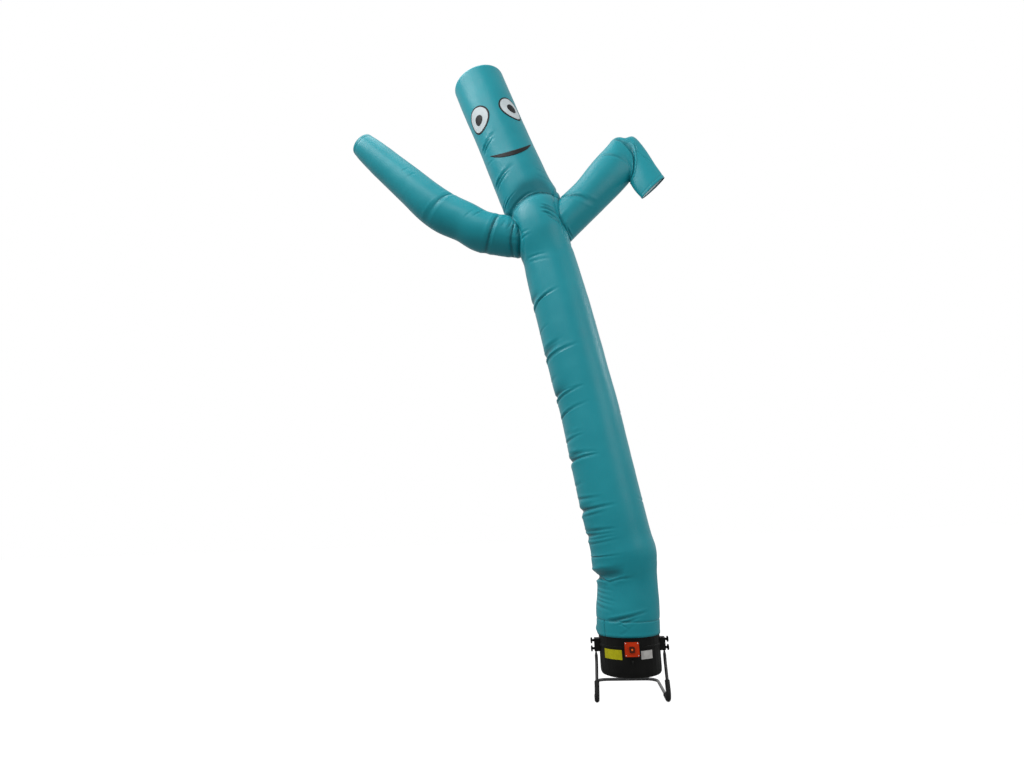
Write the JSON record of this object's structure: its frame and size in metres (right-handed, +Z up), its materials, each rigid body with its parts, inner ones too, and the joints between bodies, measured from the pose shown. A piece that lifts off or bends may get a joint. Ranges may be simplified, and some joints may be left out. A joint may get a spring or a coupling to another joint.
{
  "type": "inflatable air dancer with its floor blower",
  "caption": "Tall inflated tube figure with two sleeves and a simple cloth face, bent as it dances, clamped by its hem over a round floor blower on a bent tube stand.",
  "frame": {"origin": "middle of the part's footprint box, at floor level", "axes": "+Z up; -Y is the front, with the face and the switch plate; +X is the viewer's right from the front"},
  "size_m": [2.6708, 0.7851, 5.208],
  "materials": {
    "turquoise_nylon": "satin coated nylon",
    "white_cloth": "matte",
    "black_cloth": "matte",
    "black_plastic": "fine-grained, matte",
    "orange_plastic": "satin",
    "dark_red_plastic": "satin",
    "rubber": "matte",
    "painted_steel": "semi-gloss black paint",
    "bright_steel": "bright zinc",
    "yellow_label": "bare printed film",
    "silver_label": "bare silvery film"
  },
  "bodies": {
    "dancer_and_blower": {"body_tube": "turquoise_nylon", "crown_panel": "turquoise_nylon", "left_sleeve": "turquoise_nylon", "right_sleeve": "turquoise_nylon", "left_eye_white": "white_cloth", "right_eye_white": "white_cloth", "left_eye_outline": "black_cloth", "right_eye_outline": "black_cloth", "left_pupil": "black_cloth", "right_pupil": "black_cloth", "mouth": "black_cloth", "housing": "black_plastic", "intake_grille": "black_plastic", "left_bracket": "black_plastic", "right_bracket": "black_plastic", "switch_box": "black_plastic", "cord_gland": "black_plastic", "switch_plate": "orange_plastic", "plate_panel": "orange_plastic", "switch_bezel": "dark_red_plastic", "left_foot": "rubber", "right_foot": "rubber", "stand": "painted_steel", "plate_screw_upper_left": "bright_steel", "plate_screw_upper_right": "bright_steel", "plate_screw_lower_left": "bright_steel", "plate_screw_lower_right": "bright_steel", "yellow_label": "yellow_label", "silver_label": "silver_label"},
    "left_upper_knob": {"left_upper_knob": "black_plastic"},
    "left_lower_knob": {"left_lower_knob": "black_plastic"},
    "right_upper_knob": {"right_upper_knob": "black_plastic"},
    "right_lower_knob": {"right_lower_knob": "black_plastic"},
    "power_button": {"power_button": "orange_plastic"}
  },
  "joints": [
    {"name": "left_upper_knob_turn", "type": "hinge", "parent": "dancer_and_blower", "child": "left_upper_knob", "pos_m": [0.518, -0.1322, 0.385], "axis": [0.9954, -0.0958, 0], "continuous": true},
    {"name": "left_lower_knob_turn", "type": "hinge", "parent": "dancer_and_blower", "child": "left_lower_knob", "pos_m": [0.518, -0.1322, 0.331], "axis": [0.9954, -0.0958, 0], "continuous": true},
    {"name": "right_upper_knob_turn", "type": "hinge", "parent": "dancer_and_blower", "child": "right_upper_knob", "pos_m": [1.0078, -0.1794, 0.385], "axis": [0.9954, -0.0958, 0], "continuous": true},
    {"name": "right_lower_knob_turn", "type": "hinge", "parent": "dancer_and_blower", "child": "right_lower_knob", "pos_m": [1.0078, -0.1794, 0.331], "axis": [0.9954, -0.0958, 0], "continuous": true},
    {"name": "power_button_press", "type": "slide", "parent": "dancer_and_blower", "child": "power_button", "axis": [0.0958, 0.9954, 0], "range_m": [0, 0.003], "stiffness_N_per_m": 300}
  ]
}
